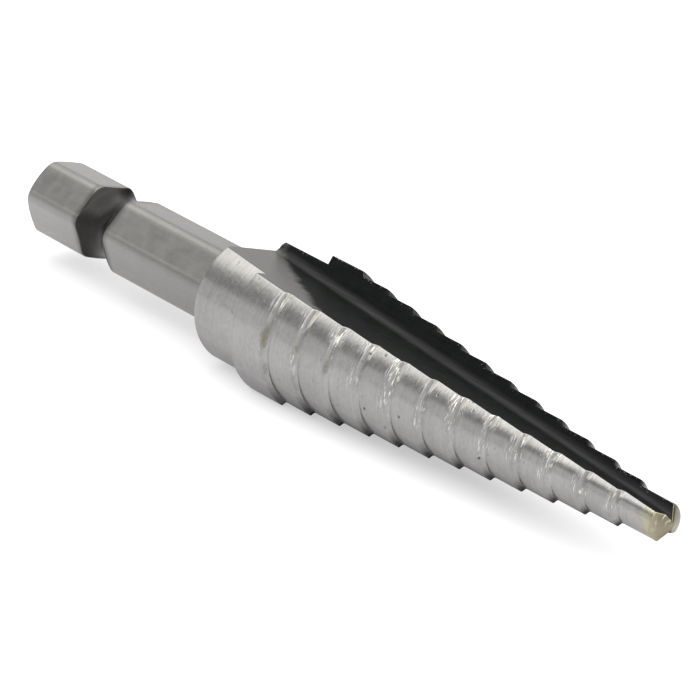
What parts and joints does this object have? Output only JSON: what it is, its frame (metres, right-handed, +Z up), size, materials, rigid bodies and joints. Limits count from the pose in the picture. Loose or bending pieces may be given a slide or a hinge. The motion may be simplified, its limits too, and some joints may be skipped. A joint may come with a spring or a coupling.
{
  "type": "step drill bit",
  "caption": "Stepped conical drill bit with two straight flutes and a hexagonal quick-change shank, for opening round holes in sheet metal.",
  "frame": {"origin": "centre of the shank's flat end face, on the drill's axis", "axes": "+X along the drill's axis towards the point; +Z up, square to the flat between the two edges of the lower flute that the drill lies on"},
  "size_m": [0.0815, 0.0126, 0.0102],
  "materials": {
    "tool_steel": "ground bare steel on the shank, collar and lands; black oxide in the flutes"
  },
  "bodies": {
    "root": {"step_drill": "tool_steel"}
  },
  "joints": []
}
